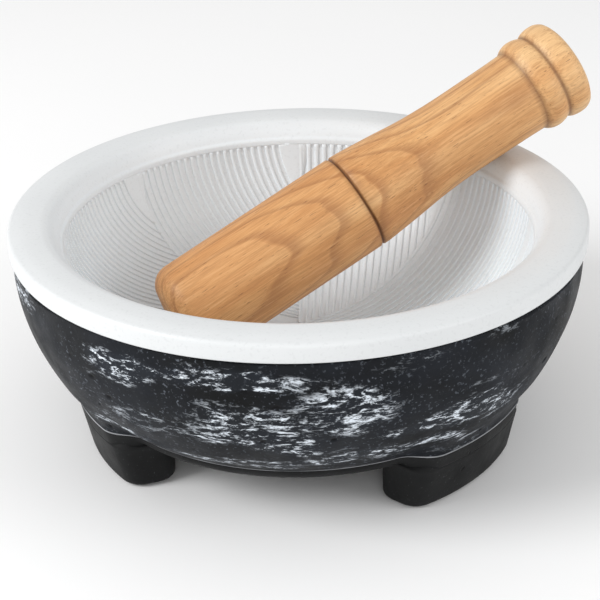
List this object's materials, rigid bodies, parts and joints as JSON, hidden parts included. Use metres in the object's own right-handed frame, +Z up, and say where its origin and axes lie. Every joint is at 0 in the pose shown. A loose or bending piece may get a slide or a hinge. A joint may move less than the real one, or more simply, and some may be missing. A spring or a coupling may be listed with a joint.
{
  "type": "molcajete",
  "caption": "Footed mortar: a white ribbed grinding liner in a dark marbled bowl, with a turned wooden pestle leaning on its rim.",
  "frame": {"origin": "the point of the bowl's axis on the surface that the three feet stand on", "axes": "+Z up along the bowl's axis; the pestle leans up toward +X and a little toward +Y; the right foot points 39.3 degrees from +X toward -Y"},
  "size_m": [0.2107, 0.203, 0.1299],
  "materials": {
    "marbled_stone": "satin",
    "plain_stone": "satin",
    "seat_rubber": "matte",
    "white_ceramic": "satin",
    "turned_beech": "satin",
    "pad_rubber": "matte"
  },
  "bodies": {
    "base": {"outer_bowl": "marbled_stone", "foot_base": "plain_stone", "seat_ring": "seat_rubber", "foot_pad_right": "pad_rubber", "foot_pad_back": "pad_rubber", "foot_pad_left": "pad_rubber"},
    "liner": {"grinding_liner": "white_ceramic"},
    "pestle": {"pestle": "turned_beech"}
  },
  "joints": [
    {"name": "liner_lift", "type": "slide", "parent": "base", "child": "liner", "axis": [0, 0, 1], "range_m": [0, 0.08]},
    {"name": "pestle_stir", "type": "hinge", "parent": "liner", "child": "pestle", "pos_m": [0, 0, 0.08], "axis": [0, 0, 1], "continuous": true}
  ]
}
